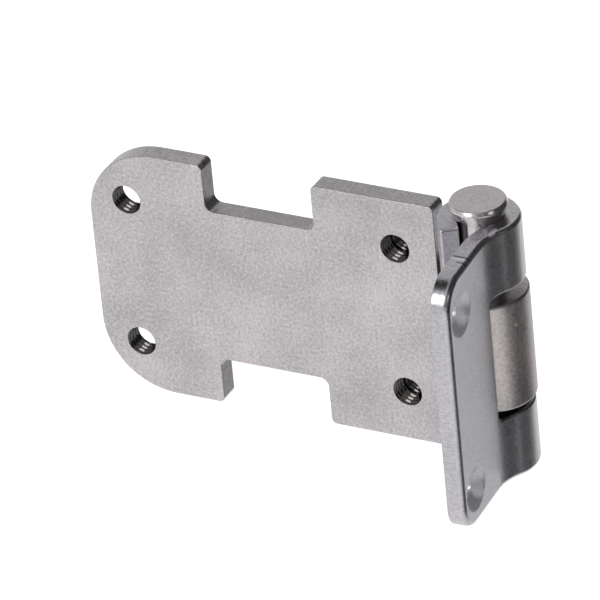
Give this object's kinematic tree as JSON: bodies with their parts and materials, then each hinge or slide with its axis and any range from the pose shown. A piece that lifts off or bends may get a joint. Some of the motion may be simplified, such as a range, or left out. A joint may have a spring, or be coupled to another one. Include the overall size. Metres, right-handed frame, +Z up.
{
  "type": "dryer door hinge",
  "caption": "Steel door hinge: flat plate with notched edges and tapped holes, rolled knuckles on a headed pin, and a narrow leaf with countersunk screw holes.",
  "frame": {"origin": "middle of the four tapped holes, on the front face of the mounting plate", "axes": "+X along the plate towards the hinge pin, +Y into the plate from its front face, +Z up along the pin to its head"},
  "size_m": [0.0849, 0.033, 0.0526],
  "materials": {
    "plate_steel": "tumbled satin",
    "strap_steel": "tumbled satin",
    "leaf_steel": "tumbled satin",
    "pin_steel": "turned satin"
  },
  "bodies": {
    "plate_side": {"mounting_plate": "plate_steel", "knuckle_strap": "strap_steel"},
    "leaf_side": {"screw_leaf": "leaf_steel", "hinge_pin": "pin_steel"}
  },
  "joints": [
    {"name": "hinge_turn", "type": "hinge", "parent": "plate_side", "child": "leaf_side", "pos_m": [0.04335, -0.00005, 0], "axis": [0, 0, 1], "range_deg": [-93, 176]}
  ]
}
